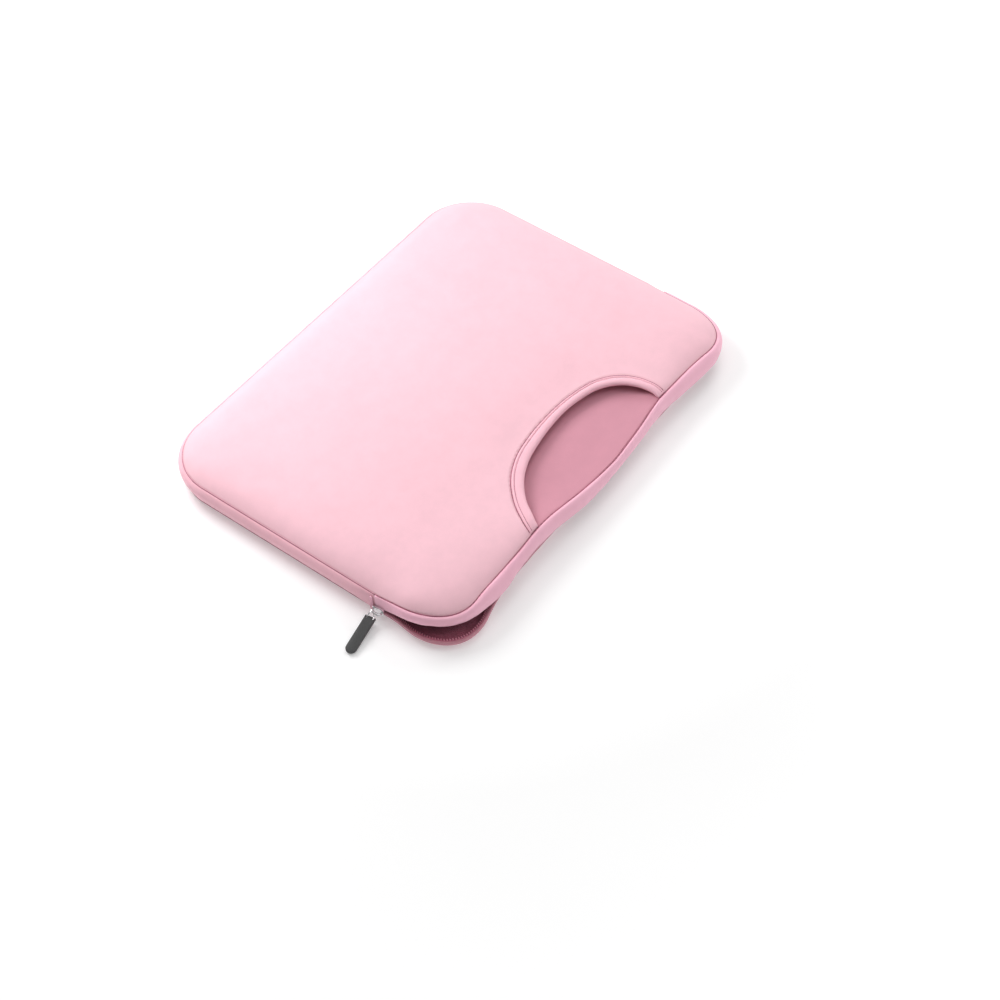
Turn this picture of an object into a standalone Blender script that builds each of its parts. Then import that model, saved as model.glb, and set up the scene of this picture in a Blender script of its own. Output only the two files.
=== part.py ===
"""Zipped neoprene laptop sleeve with a half-moon pocket mouth that doubles as a grip.

Frame: metres, +Z up.  The sleeve lies on its rear panel.  The origin is on the underside, at
the centre of the rectangle that the panel seams draw.  +X runs along the long side and the
zipped mouth faces -Y.  Every piece is drawn with the zip closed; the front flap is then
turned open about the fold line, which is the pose it is stored in.
"""

import math

import bmesh
import bpy
from mathutils import Matrix, Vector

MM = 0.001

# ---- driving dimensions, millimetres -------------------------------------------------------
HALF_X = 172.5          # half the seam-to-seam length: 345
HALF_Y = 123.5          # half the seam-to-seam width: 247
R_MOUTH = 35.0          # corner radius at the mouth
R_CLOSED = 40.0         # corner radius at the closed side
CORNER_STEPS = 9

REAR_TOP = 3.0          # rear neoprene panel, 3 mm
LINING = 0.6            # plush lining
GAP = 0.3               # between faces that are stitched together
SEAM_Z = 18.0           # top edge of the side band, where the front panel is sewn on
POCKET_FLOOR = 15.0     # top of the wall between pocket and laptop
WALL = 1.5
FRONT_LINING_Z = 12.6   # underside of the lining above the laptop
PANEL_UNDER = 20.0      # underside of the front panel
PANEL_TOP = 23.0        # its flat top

BAND_OUT = 1.4          # band thickness outside and inside the seam line
BAND_IN = 0.2
ZIP_Z = 6.95            # height of the zip's centre line
FRONT_BAND_LOW = 7.7    # lower edge of the front band
REAR_BAND_TOP = 6.2     # upper edge of the rear band
ZIP_START_Y = -68.5     # both ends of the zip, on the short sides

FOLD_Y = -66.5          # line the front flap folds about
OPEN_DEG = 4.0          # how far the flap stands open as stored

SLIDER_Y = -72.65       # slider parked at the open end
YAW_DEG = 9.0           # swing of the pull's wire loop as stored
DROOP_DEG = 6.3         # pull tab's droop as stored

# ---- scene clean-up ------------------------------------------------------------------------
for old in list(bpy.data.objects):
    bpy.data.objects.remove(old, do_unlink=True)


# ---- materials -----------------------------------------------------------------------------
def material(name, colour, roughness, metallic=0.0):
    m = bpy.data.materials.new(name)
    m.use_nodes = True
    bsdf = m.node_tree.nodes["Principled BSDF"]
    bsdf.inputs["Base Color"].default_value = (*colour, 1.0)
    bsdf.inputs["Roughness"].default_value = roughness
    bsdf.inputs["Metallic"].default_value = metallic
    m.diffuse_color = (*colour, 1.0)
    return m


NEOPRENE = material("neoprene", (0.96, 0.62, 0.70), 0.75)
BAND = material("band", (0.86, 0.42, 0.53), 0.65)
LINED = material("lining", (0.70, 0.33, 0.42), 0.95)
TAPE = material("tape", (0.72, 0.32, 0.42), 0.8)
NYLON = material("nylon", (0.80, 0.40, 0.50), 0.45)
CHROME = material("chrome", (0.80, 0.80, 0.81), 0.15, 1.0)
RUBBER = material("rubber", (0.11, 0.11, 0.11), 0.6)


# ---- small geometry helpers ----------------------------------------------------------------
def empty(name, at, parent=None, turn=(0, 0, 0)):
    e = bpy.data.objects.new(name, None)
    e.location = Vector(at) * MM
    e.rotation_euler = turn
    e.parent = parent
    bpy.context.scene.collection.objects.link(e)
    return e


def place(name, bm, mat, carrier=None, pivot=(0, 0, 0), sharp=35):
    """Makes an object from a mesh drawn in closed-sleeve millimetres, carried by an empty at pivot."""
    bmesh.ops.recalc_face_normals(bm, faces=bm.faces)
    mesh = bpy.data.meshes.new(name)
    bm.to_mesh(mesh)
    bm.free()
    mesh.transform(Matrix.Scale(MM, 4) @ Matrix.Translation(-Vector(pivot)))
    mesh.materials.append(mat)
    mesh.shade_smooth()
    mesh.set_sharp_from_angle(angle=math.radians(sharp))
    obj = bpy.data.objects.new(name, mesh)
    bpy.context.scene.collection.objects.link(obj)
    if carrier:
        obj.parent = carrier
    else:
        obj.location = Vector(pivot) * MM
    return obj


def cutter(name, bm, carrier=None, pivot=(0, 0, 0)):
    c = place(name, bm, BAND, carrier, pivot)
    c.hide_render = True
    c.display_type = "WIRE"
    return c


def cut(obj, tool, operation="DIFFERENCE"):
    m = obj.modifiers.new(tool.name, "BOOLEAN")
    m.operation = operation
    m.object = tool
    m.solver = "EXACT"


def arc(cx, cy, r, a0, a1, steps):
    return [
        (cx + r * math.cos(math.radians(a0 + (a1 - a0) * k / steps)),
         cy + r * math.sin(math.radians(a0 + (a1 - a0) * k / steps)))
        for k in range(steps + 1)
    ]


def outline(inset):
    """Closed loop of the seam rectangle moved inwards, counter-clockwise, always the same number of points."""
    hx, hy = HALF_X - inset, HALF_Y - inset
    rm, rc = max(R_MOUTH - inset, 0.5), max(R_CLOSED - inset, 0.5)
    return (
        arc(-hx + rm, -hy + rm, rm, 180, 270, CORNER_STEPS)
        + arc(hx - rm, -hy + rm, rm, 270, 360, CORNER_STEPS)
        + arc(hx - rc, hy - rc, rc, 0, 90, CORNER_STEPS)
        + arc(-hx + rc, hy - rc, rc, 90, 180, CORNER_STEPS)
    )


def loft(levels):
    """Closed solid through a stack of outlines, each (inset, z), with flat ends."""
    bm = bmesh.new()
    rings = [[bm.verts.new((x, y, z)) for x, y in outline(i)] for i, z in levels]
    n = len(rings[0])
    for a, b in zip(rings, rings[1:]):
        for k in range(n):
            bm.faces.new((a[k], a[(k + 1) % n], b[(k + 1) % n], b[k]))
    bm.faces.new(rings[0][::-1])
    bm.faces.new(rings[-1])
    return bm


def mouth_path(start_y=ZIP_START_Y - 0.15, end_y=None):
    """Points and outward normals along the zipped side: left short side, mouth, right short side."""
    end_y = start_y if end_y is None else end_y
    pts = [((-HALF_X, start_y), (-1, 0))]
    for (cx, a0, a1) in ((-HALF_X + R_MOUTH, 180, 270), (HALF_X - R_MOUTH, 270, 360)):
        for k in range(CORNER_STEPS + 1):
            a = math.radians(a0 + (a1 - a0) * k / CORNER_STEPS)
            n = (math.cos(a), math.sin(a))
            pts.append(((cx + R_MOUTH * n[0], -HALF_Y + R_MOUTH + R_MOUTH * n[1]), n))
    pts.append(((HALF_X, end_y), (1, 0)))
    return pts


def closed_path(start_y=ZIP_START_Y + 0.15):
    """The same for the three sides that have no zip."""
    pts = [((-HALF_X, start_y), (-1, 0))]
    for (cx, a0, a1) in ((-HALF_X + R_CLOSED, 180, 90), (HALF_X - R_CLOSED, 90, 0)):
        for k in range(CORNER_STEPS + 1):
            a = math.radians(a0 + (a1 - a0) * k / CORNER_STEPS)
            n = (math.cos(a), math.sin(a))
            pts.append(((cx + R_CLOSED * n[0], HALF_Y - R_CLOSED + R_CLOSED * n[1]), n))
    pts.append(((HALF_X, start_y), (1, 0)))
    return pts


def sweep(path, section):
    """Closed strip: a cross-section of (offset outwards, z) points carried along a path."""
    bm = bmesh.new()
    rings = [
        [bm.verts.new((p[0] + n[0] * o, p[1] + n[1] * o, z)) for o, z in section]
        for p, n in path
    ]
    m = len(section)
    for a, b in zip(rings, rings[1:]):
        for k in range(m):
            bm.faces.new((a[k], a[(k + 1) % m], b[(k + 1) % m], b[k]))
    bm.faces.new(rings[0])
    bm.faces.new(rings[-1][::-1])
    return bm


def box(lo, hi):
    bm = bmesh.new()
    bmesh.ops.create_cube(bm, size=1.0)
    lo, hi = Vector(lo), Vector(hi)
    for v in bm.verts:
        v.co = Vector(lo[i] + (v.co[i] + 0.5) * (hi[i] - lo[i]) for i in range(3))
    return bm


def prism(points, z0, z1):
    bm = bmesh.new()
    low = [bm.verts.new((x, y, z0)) for x, y in points]
    high = [bm.verts.new((x, y, z1)) for x, y in points]
    n = len(points)
    bm.faces.new(low[::-1])
    bm.faces.new(high)
    for k in range(n):
        bm.faces.new((low[k], low[(k + 1) % n], high[(k + 1) % n], high[k]))
    return bm


def tube(points, radius, sides=10, closed=False):
    """Round wire through points, in closed-sleeve millimetres."""
    bm = bmesh.new()
    pts = [Vector(p) for p in points]
    n = len(pts)
    frames = []
    up = None
    for k in range(n):
        if closed:
            t = (pts[(k + 1) % n] - pts[k - 1]).normalized()
        else:
            t = (pts[min(k + 1, n - 1)] - pts[max(k - 1, 0)]).normalized()
        if up is None:
            up = t.orthogonal().normalized()
        up = (up - t * up.dot(t)).normalized()
        frames.append((up.copy(), t.copy()))
    twist = 0.0
    if closed:
        first, t = frames[0]
        last = (up - t * up.dot(t)).normalized()
        twist = math.atan2(first.cross(last).dot(t), first.dot(last))
    rings = []
    for k, (up, t) in enumerate(frames):
        side = t.cross(up)
        turn = -twist * k / n
        rings.append([
            bm.verts.new(pts[k] + radius * (math.cos(2 * math.pi * s / sides + turn) * up
                                            + math.sin(2 * math.pi * s / sides + turn) * side))
            for s in range(sides)
        ])
    for k in range(n if closed else n - 1):
        a, b = rings[k], rings[(k + 1) % n]
        for s in range(sides):
            bm.faces.new((a[s], a[(s + 1) % sides], b[(s + 1) % sides], b[s]))
    if not closed:
        bm.faces.new(rings[0][::-1])
        bm.faces.new(rings[-1])
    return bm


def smooth_curve(points, per):
    """Catmull-Rom curve through the points."""
    pts = [Vector((*p, 0)) for p in points]
    pts = [2 * pts[0] - pts[1]] + pts + [2 * pts[-1] - pts[-2]]
    out = []
    for k in range(1, len(pts) - 2):
        p0, p1, p2, p3 = pts[k - 1:k + 3]
        for j in range(per):
            t = j / per
            out.append(0.5 * ((2 * p1) + (p2 - p0) * t + (2 * p0 - 5 * p1 + 4 * p2 - p3) * t * t
                              + (3 * p1 - p0 - 3 * p2 + p3) * t ** 3))
    out.append(pts[-2])
    return [(v.x, v.y) for v in out]


# ---- carriers ------------------------------------------------------------------------------
HINGE = (0.0, FOLD_Y, PANEL_TOP)
flap = empty("flap_hinge", HINGE, None, (-math.radians(OPEN_DEG), 0, 0))

# Profile of the front panel: (distance in from the seam, z).
PANEL_OUTER = [(0.3, 18.6), (0.9, 19.9), (2.2, 21.2), (4.5, 22.1), (8.0, 22.7), (14.0, PANEL_TOP)]
PANEL_INNER = [(0.3, 18.3), (3.4, 18.4), (5.5, 19.3), (9.0, 19.8), (14.0, PANEL_UNDER)]


def height(profile, inset):
    if inset <= profile[0][0]:
        return profile[0][1]
    for (i0, z0), (i1, z1) in zip(profile, profile[1:]):
        if inset <= i1:
            return z0 + (z1 - z0) * (inset - i0) / (i1 - i0)
    return profile[-1][1]


def tray(outer, inner):
    """Shallow dish or lid: from the middle of the underside, out round the rim and back over the top."""
    return loft(list(reversed(inner)) + outer)


def keep_main(obj):
    cut(obj, cutter(obj.name + "_cut", box((-300, -300, -20), (300, FOLD_Y + 0.15, 60))))


def keep_flap(obj):
    cut(obj, cutter(obj.name + "_cut", box((-300, FOLD_Y - 0.15, -20), (300, 300, 60)), flap, HINGE))


# ---- rear shell ----------------------------------------------------------------------------
place("rear_panel", loft([(5.0, 0.0), (2.2, 0.5), (0.8, 1.4), (0.3, REAR_TOP)]), NEOPRENE)
place("rear_lining", loft([(2.2, REAR_TOP + GAP), (2.2, REAR_TOP + GAP + LINING)]), LINED)


place("side_gusset", sweep(closed_path(), [
    (-BAND_IN, 3.3), (BAND_OUT - 0.4, 3.3), (BAND_OUT + 0.2, 7.0), (BAND_OUT + 0.2, 14.0),
    (BAND_OUT - 0.4, SEAM_Z), (-BAND_IN, SEAM_Z)]), BAND)
place("rear_zip_band", sweep(mouth_path(), [
    (-BAND_IN, 3.3), (BAND_OUT - 0.2, 3.3), (BAND_OUT, REAR_BAND_TOP), (-BAND_IN, REAR_BAND_TOP)]), BAND)
place("rear_zip_tape", sweep(mouth_path(), [
    (-1.0, 4.2), (-0.5, 4.2), (-0.5, 6.15), (-1.0, 6.15)]), TAPE)
place("rear_zip_teeth", sweep(mouth_path(end_y=-73.2), [
    (-2.9, 4.9), (-1.3, 4.9), (-1.3, 6.15), (-2.9, 6.15)]), NYLON)
for side, sx in (("left", -1), ("right", 1)):
    place(f"zip_end_tab_{side}", box(
        (min(sx * (HALF_X + 1.95), sx * (HALF_X + 2.65)), ZIP_START_Y + 0.8, 4.8),
        (max(sx * (HALF_X + 1.95), sx * (HALF_X + 2.65)), ZIP_START_Y + 4.2, 17.2)), BAND)
place("zip_bottom_stop", box((-HALF_X + 1.3, ZIP_START_Y + 1.0, 4.9), (-HALF_X + 3.1, ZIP_START_Y + 4.0, 9.0)), CHROME)
place("zip_top_stop_rear", box((HALF_X - 3.1, -72.8, 4.5), (HALF_X - 1.3, -70.2, 6.15)), CHROME)

# ---- front shell, the part that stays -----------------------------------------------------
front_main = place("front_panel_main", tray(PANEL_OUTER, PANEL_INNER), NEOPRENE)
keep_main(front_main)
wall_main = place("pocket_wall_main", loft([(0.7, POCKET_FLOOR - WALL), (0.7, POCKET_FLOOR)]), NEOPRENE)
keep_main(wall_main)
lining_main = place("front_lining_main", loft([(3.6, FRONT_LINING_Z), (3.6, FRONT_LINING_Z + LINING)]), LINED)
keep_main(lining_main)

# ---- front flap: everything beyond the fold line -------------------------------------------
# Half-moon pocket mouth: outer line of its binding, and the free edge that a hand meets.
ARC_OUTER = smooth_curve([
    (-75.5, -126.5), (-73.8, -121.5), (-70.0, -113.6), (-60.0, -99.4), (-46.5, -86.6), (-33.0, -78.6),
    (-17.0, -73.3), (7.7, -70.4), (34.0, -70.9), (56.0, -75.0), (69.8, -81.0), (79.7, -90.8),
    (84.8, -102.3), (86.2, -114.0), (86.0, -121.5), (85.8, -126.5)], 3)
ARC_INNER = smooth_curve([
    (-67.5, -126.5), (-65.6, -121.5), (-61.8, -115.6), (-53.0, -103.4), (-41.0, -92.8), (-28.8, -85.9),
    (-14.6, -81.6), (9.0, -79.0), (32.4, -79.3), (51.4, -82.8), (62.8, -87.9), (71.5, -96.2),
    (76.2, -106.0), (77.6, -115.0), (77.4, -121.5), (77.2, -126.5)], 3)
front_flap = place("front_panel_flap", tray(PANEL_OUTER, PANEL_INNER), NEOPRENE, flap, HINGE)
keep_flap(front_flap)
cut(front_flap, cutter("arc_cut", prism(ARC_OUTER + [(85.8, -140), (-75.5, -140)], 10, 40), flap, HINGE))
wall_flap = place("pocket_wall_flap", loft([(0.7, POCKET_FLOOR - WALL), (0.7, POCKET_FLOOR)]), NEOPRENE, flap, HINGE)
keep_flap(wall_flap)
lining_flap = place("front_lining_flap", loft([(3.6, FRONT_LINING_Z), (3.6, FRONT_LINING_Z + LINING)]), LINED, flap, HINGE)
keep_flap(lining_flap)


def binding():
    """Rounded tape between the two arcs; it follows the panel down to the mouth seam."""
    bm = bmesh.new()
    rings = []
    pairs = [(o, i) for o, i in zip(ARC_OUTER, ARC_INNER) if o[1] > -123.1]
    for o, i in pairs:
        o, i = Vector((*o, 0)), Vector((*i, 0))
        w = (i - o).normalized()
        o = o + w * GAP
        ring = []
        for f, up, lift in ((0.0, 0, 0.0), (0.0, 1, -0.2), (0.3, 1, 0.5), (0.75, 1, 0.4), (1.0, 1, -0.9), (1.0, 0, 0.6), (0.5, 0, 0.0)):
            p = o.lerp(i, f)
            inset = max(p.y + HALF_Y, 0.4)
            z = height(PANEL_OUTER if up else PANEL_INNER, inset) + lift
            ring.append(bm.verts.new((p.x, p.y, max(z, 18.35 if not up else 18.7 + 0.2 * f))))
        rings.append(ring)
    m = len(rings[0])
    for a, b in zip(rings, rings[1:]):
        for k in range(m):
            bm.faces.new((a[k], a[(k + 1) % m], b[(k + 1) % m], b[k]))
    bm.faces.new(rings[0])
    bm.faces.new(rings[-1][::-1])
    return bm


place("pocket_mouth_binding", binding(), BAND, flap, HINGE)
place("front_zip_band", sweep(mouth_path(), [
    (-BAND_IN, FRONT_BAND_LOW), (BAND_OUT, FRONT_BAND_LOW), (BAND_OUT, 14.5),
    (BAND_OUT - 0.4, SEAM_Z), (-BAND_IN, SEAM_Z)]), BAND, flap, HINGE)
place("front_zip_tape", sweep(mouth_path(), [
    (-1.0, 7.75), (-0.5, 7.75), (-0.5, 12.9), (-1.0, 12.9)]), TAPE, flap, HINGE)
place("front_zip_teeth", sweep(mouth_path(end_y=-73.2), [
    (-2.9, 7.75), (-1.3, 7.75), (-1.3, 9.0), (-2.9, 9.0)]), NYLON, flap, HINGE)
place("zip_top_stop_front", box((HALF_X - 3.1, -72.8, 7.75), (HALF_X - 1.3, -70.2, 9.4)), CHROME, flap, HINGE)

# ---- zip slider ----------------------------------------------------------------------------
FACE = -HALF_X - BAND_OUT - 0.4             # inner face of the slider's outer plate
PLATE = 1.3
SLIDER_AT = (FACE, SLIDER_Y, ZIP_Z)
slider = empty("slider_carrier", SLIDER_AT)
shield = [(-77.3, 2.6), (-76.6, 3.5), (-75.2, 3.9), (-72.8, 3.4), (-70.4, 2.8), (-68.7, 2.6), (-68.1, 1.9)]
shield = [(y, ZIP_Z + h) for y, h in shield] + [(y, ZIP_Z - h) for y, h in reversed(shield)]


def plate(x0, x1, grow=1.0):
    bm = bmesh.new()
    a = [bm.verts.new((x0, y, ZIP_Z + (z - ZIP_Z) * grow)) for y, z in shield]
    b = [bm.verts.new((x1, y, ZIP_Z + (z - ZIP_Z) * grow)) for y, z in shield]
    n = len(a)
    bm.faces.new(a)
    bm.faces.new(b[::-1])
    for k in range(n):
        bm.faces.new((a[k], b[k], b[(k + 1) % n], a[(k + 1) % n]))
    return bm


slider_body = place("slider_body", plate(FACE, FACE - PLATE), CHROME, slider, SLIDER_AT)
inner_plate = cutter("slider_inner_plate", plate(-HALF_X + 4.1, -HALF_X + 3.1, 0.62), slider, SLIDER_AT)
post = cutter("slider_post", box((FACE - 0.6, -76.3, ZIP_Z - 0.45), (-HALF_X + 3.6, -73.8, ZIP_Z + 0.45)), slider, SLIDER_AT)
ARCH_OUT, ARCH_T, ARCH_HALF = 3.1, 1.1, 0.7
top = FACE - PLATE - ARCH_OUT
arch_section = [(-76.4, FACE - 0.7), (-76.2, top + 1.3), (-75.2, top + 0.3), (-73.4, top), (-71.2, top), (-69.4, top + 0.3),
                (-68.5, top + 1.3), (-68.3, FACE - 0.7), (-69.2, FACE - 0.7), (-69.3, top + 1.7), (-70.1, top + ARCH_T),
                (-74.5, top + ARCH_T), (-75.4, top + 1.7), (-75.5, FACE - 0.7)]
bridge_mesh = bmesh.new()
lo = [bridge_mesh.verts.new((x, y, ZIP_Z - ARCH_HALF)) for y, x in arch_section]
hi = [bridge_mesh.verts.new((x, y, ZIP_Z + ARCH_HALF)) for y, x in arch_section]
bridge_mesh.faces.new(lo)
bridge_mesh.faces.new(hi[::-1])
for k in range(len(lo)):
    bridge_mesh.faces.new((lo[k], hi[k], hi[(k + 1) % len(lo)], lo[(k + 1) % len(lo)]))
bridge = cutter("slider_bridge", bridge_mesh, slider, SLIDER_AT)
cut(slider_body, post, "UNION")
cut(slider_body, inner_plate, "UNION")
cut(slider_body, bridge, "UNION")

# ---- pull: wire loop through the bridge, rubber tab ----------------------------------------
# The loop passes upright behind the bridge, then its two legs spread and drop to a straight bar
# that the tab turns on.  Points are (outwards, sideways, up) from the middle of the upright part.
WIRE = 0.45
LOOP_AT = (FACE - PLATE - 1.25, SLIDER_Y + 2.35, ZIP_Z)
BAR_OUT, BAR_DROP, LEG = 5.6, 2.3, 2.4
loop_carrier = empty("loop_carrier", Vector(LOOP_AT) - Vector(SLIDER_AT), slider, (0, 0, math.radians(YAW_DEG)))
upper = [(0, 0, 0.4), (0.02, 0, 0.85), (0.2, 0, 1.28), (0.65, 0.05, 1.5), (1.6, 0.3, 1.5), (2.7, 0.7, 1.4), (3.5, 1.2, 0.9),
         (4.2, 1.8, 0.0), (4.8, 2.2, -1.0), (5.3, LEG, -1.8), (BAR_OUT - 0.05, LEG - 0.1, -BAR_DROP + 0.08), (BAR_OUT, LEG - 0.5, -BAR_DROP)]
lower = [(0, 0, -0.4), (0.02, 0, -0.85), (0.2, 0, -1.28), (0.65, -0.1, -1.55), (1.5, -0.4, -1.7), (2.5, -1.1, -1.85), (3.2, -1.8, -1.97),
         (3.8, -2.3, -2.05), (4.5, -LEG, -2.14), (5.2, -LEG, -2.24), (BAR_OUT - 0.08, -LEG + 0.1, -BAR_DROP), (BAR_OUT, -LEG + 0.5, -BAR_DROP)]
loop = [(LOOP_AT[0] - r, LOOP_AT[1] + side, ZIP_Z + z) for r, side, z in upper + [(BAR_OUT, 0.0, -BAR_DROP)] + lower[::-1]]
place("tab_wire_loop", tube(loop, WIRE, 10, True), CHROME, loop_carrier, LOOP_AT, 60)

BAR_AT = (LOOP_AT[0] - BAR_OUT, LOOP_AT[1], ZIP_Z - BAR_DROP)
tab_carrier = empty("tab_carrier", Vector(BAR_AT) - Vector(LOOP_AT), loop_carrier, (0, -math.radians(DROOP_DEG), 0))
TAB_TOP = BAR_AT[0] + 1.5
TAB_LEN, TAB_W, TAB_T = 30.0, 7.8, 2.2


def tab():
    """Rubber tab: square top, round end, softened edges."""
    r = TAB_W / 2
    def plan(inset):
        pts = [(TAB_TOP - inset, BAR_AT[1] - r + inset), (TAB_TOP - inset, BAR_AT[1] + r - inset)]
        cx = TAB_TOP - TAB_LEN + r
        for k in range(13):
            a = math.pi / 2 + math.pi * k / 12
            pts.append((cx + (r - inset) * math.cos(a), BAR_AT[1] + (r - inset) * math.sin(a)))
        return pts
    bm = bmesh.new()
    rings = [[bm.verts.new((x, y, BAR_AT[2] + z)) for x, y in plan(i)]
             for i, z in ((0.5, -TAB_T / 2), (0.0, -TAB_T / 2 + 0.5), (0.0, TAB_T / 2 - 0.5), (0.5, TAB_T / 2))]
    n = len(rings[0])
    for a, b in zip(rings, rings[1:]):
        for k in range(n):
            bm.faces.new((a[k], a[(k + 1) % n], b[(k + 1) % n], b[k]))
    bm.faces.new(rings[0][::-1])
    bm.faces.new(rings[-1])
    return bm


pull_tab = place("pull_tab", tab(), RUBBER, tab_carrier, BAR_AT)
for k, dy in enumerate((-LEG, LEG)):
    cut(pull_tab, cutter(f"tab_slot_{k}", box(
        (BAR_AT[0] - 1.5, BAR_AT[1] + dy - 0.8, BAR_AT[2] - 3), (TAB_TOP + 2, BAR_AT[1] + dy + 0.8, BAR_AT[2] + 3)), tab_carrier, BAR_AT))
cut(pull_tab, cutter("tab_bar_hole", tube(
    [(BAR_AT[0], BAR_AT[1] - 2.2, BAR_AT[2]), (BAR_AT[0], BAR_AT[1] + 2.2, BAR_AT[2])], WIRE + 0.22, 12), tab_carrier, BAR_AT))
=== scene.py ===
"""Look model of a zipped neoprene laptop sleeve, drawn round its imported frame.

Lengths below are millimetres in the frame's own axes.  Everything on the front of the sleeve is
drawn as it is with the zip closed, then carried to the stored pose by the same turn about the
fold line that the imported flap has.
"""
import math

import bmesh
import bpy
import numpy as np
from mathutils import Matrix, Vector
from mathutils.geometry import delaunay_2d_cdt


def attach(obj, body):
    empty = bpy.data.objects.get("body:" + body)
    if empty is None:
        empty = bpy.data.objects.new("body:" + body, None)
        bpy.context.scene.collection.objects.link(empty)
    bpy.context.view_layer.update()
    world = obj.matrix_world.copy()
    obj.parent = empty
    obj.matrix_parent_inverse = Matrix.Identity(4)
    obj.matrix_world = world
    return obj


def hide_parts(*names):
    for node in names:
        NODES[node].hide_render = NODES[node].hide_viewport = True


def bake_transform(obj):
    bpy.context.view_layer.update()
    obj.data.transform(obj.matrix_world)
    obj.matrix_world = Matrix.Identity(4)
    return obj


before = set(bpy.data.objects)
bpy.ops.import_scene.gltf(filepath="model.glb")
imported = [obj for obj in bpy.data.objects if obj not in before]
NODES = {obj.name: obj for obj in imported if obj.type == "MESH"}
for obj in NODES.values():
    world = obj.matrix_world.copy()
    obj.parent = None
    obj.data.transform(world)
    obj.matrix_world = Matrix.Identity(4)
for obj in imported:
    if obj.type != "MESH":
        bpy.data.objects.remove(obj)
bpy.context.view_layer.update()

MM = 0.001

# ---- sizes shared with the frame -----------------------------------------------------------
HALF_X, HALF_Y = 172.5, 123.5
R_MOUTH, R_CLOSED = 35.0, 40.0
FOLD_Y, FOLD_Z = -66.5, 23.0
OPEN = math.radians(4.0)
TURN_FROM, TURN_TO = -60.0, -73.0       # the front skins bend between these two lines
SEAM_Z = 18.0
ZIP_START_Y = -68.5
CORNER_Y = -HALF_Y + R_MOUTH            # where the short side runs into the mouth's corner
CORNER_X = HALF_X - R_MOUTH
ARC_LEN = R_MOUTH * math.pi / 2
S_CORNER = ZIP_START_Y - CORNER_Y       # distances along the zip from its left end
S_FRONT = S_CORNER + ARC_LEN
S_FRONT_END = S_FRONT + 2 * CORNER_X
S_END = S_FRONT_END + ARC_LEN + S_CORNER
BAND_H = 10.3
FACE = -HALF_X - 1.8
PLATE = 1.3
LOOP_AT = np.array((FACE - PLATE - 1.25, -72.65 + 2.35, 6.95))
YAW, DROOP = math.radians(9.0), math.radians(6.3)


# ---- how the mouth sits: tables along the zip, eased ---------------------------------------
def eased(table, sigma):
    s = np.arange(-80.0, S_END + 81.0, 1.0)
    v = np.interp(s, [t[0] for t in table], [t[1] for t in table])
    k = np.arange(-4 * sigma, 4 * sigma + 1)
    w = np.exp(-0.5 * (k / sigma) ** 2)
    pad = len(k) // 2
    v = np.convolve(np.pad(v, pad, mode="edge"), w / w.sum(), mode="valid")
    return lambda q: np.interp(q, s, v)


# Outward push and lift of the seam between front panel and band.
BOW = eased([(-30, 0), (10, 0), (22, 0), (41, .5), (50, 1.3), (59, 2.1), (67, 2.5), (81, 1.5), (103, 1.4), (127, .8), (143, 0),
             (160, .3), (188, 3.6), (210, 5.3), (229, 6.0), (262, 3.5), (290, .4), (328, .9), (345, 1.9), (355, 3.3), (366, 4.2),
             (376, 3.2), (388, 1.2), (400, .2), (410, 0), (430, 0)], 5)
LIFT = eased([(-30, 0), (4, 0), (14, 1.2), (22, 2.3), (30, 1.9), (41, .3), (50, -1.3), (59, -2.1), (67, -2.0), (81, -1.0), (103, -1.0),
              (127, -.4), (143, .8), (160, .2), (188, -2.1), (210, -3.2), (229, -3.4), (262, -2.1), (290, .2), (328, -.6),
              (350, -1.3), (362, -2.0), (374, -2.6), (388, -2.9), (400, -2.4), (411, -1.3), (420, -.3), (426, 0), (440, 0)], 4)
# Outward lean of the band below that seam, degrees, and its height.
LEAN = eased([(-30, 0), (8, 0), (22, 1), (42, 3), (55, 3), (64, 6), (73, 16), (83, 27), (93, 31), (103, 27), (115, 16), (128, 11), (145, 17), (175, 20),
              (195, 19), (215, 8), (229, 1), (250, 5), (275, 7), (295, 14), (315, 24), (332, 31), (345, 29), (356, 18), (368, 9), (380, 5),
              (395, 2), (412, 0), (430, 0)], 5)
WIDE = eased([(-30, 10.3), (8, 10.3), (22, 9.8), (38, 8.8), (60, 8.6), (72, 9.8), (84, 11.6), (95, 12.2), (120, 11.6), (160, 11.8), (215, 11.0),
              (240, 10.6), (280, 11.4), (330, 12.0), (350, 11.6), (370, 10.9), (395, 10.5), (412, 10.3), (430, 10.3)], 6)
# How full the band's roll is; it is flat where the slider's plates run at rest.
FULL = eased([(-30, 0), (9, 0), (16, .35), (26, 1), (430, 1)], 3)
# Outward push of the rear lip, which lies on the table.
LIP = eased([(-30, 0), (20, 0), (25, .9), (30, 3.4), (36, 6.1), (44, 9.4), (52, 12.6), (60, 13.4), (70, 10.8), (82, 7.2), (95, 4.4), (110, 2.4), (140, 1.2),
             (200, .8), (350, .9), (375, 1.6), (400, .5), (430, 0)], 4)


def smooth01(t):
    t = np.clip(t, 0, 1)
    return t * t * (3 - 2 * t)


def bend(p):
    """Closed-sleeve points to the stored pose."""
    p = np.asarray(p, float)
    a = OPEN * smooth01((TURN_FROM - p[:, 1]) / (TURN_FROM - TURN_TO))
    dy, dz = p[:, 1] - FOLD_Y, p[:, 2] - FOLD_Z
    return np.stack([p[:, 0], FOLD_Y + dy * np.cos(a) + dz * np.sin(a), FOLD_Z - dy * np.sin(a) + dz * np.cos(a)], axis=1)


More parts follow.
